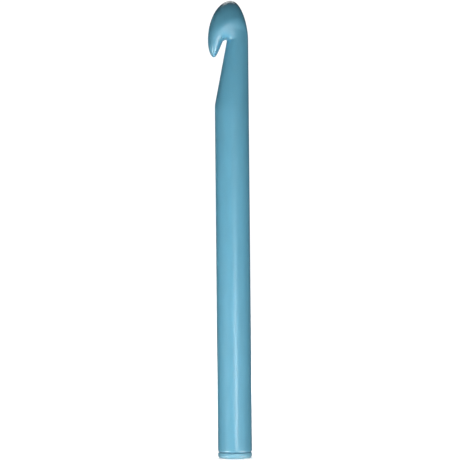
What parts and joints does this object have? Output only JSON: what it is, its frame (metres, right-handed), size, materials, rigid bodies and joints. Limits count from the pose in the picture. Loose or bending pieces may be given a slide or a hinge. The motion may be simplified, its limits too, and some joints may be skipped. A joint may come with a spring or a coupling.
{
  "type": "crochet hook",
  "caption": "Jumbo crochet hook with a straight round shaft, a tapered throat, a beaked head that catches thick yarn, and an end plug.",
  "frame": {"origin": "centre of the plug's flat butt face, on the shaft's axis", "axes": "+Z along the shaft from the butt to the tip of the head; the lip and its gap are on the -X side, the straight spine on the +X side; the mould's parting plane is Y = 0"},
  "size_m": [0.019, 0.016, 0.216],
  "materials": {
    "body_plastic": "semi-gloss light blue moulded plastic",
    "plug_plastic": "semi-gloss light blue moulded plastic"
  },
  "bodies": {
    "root": {"hook_body": "body_plastic", "end_plug": "plug_plastic"}
  },
  "joints": []
}
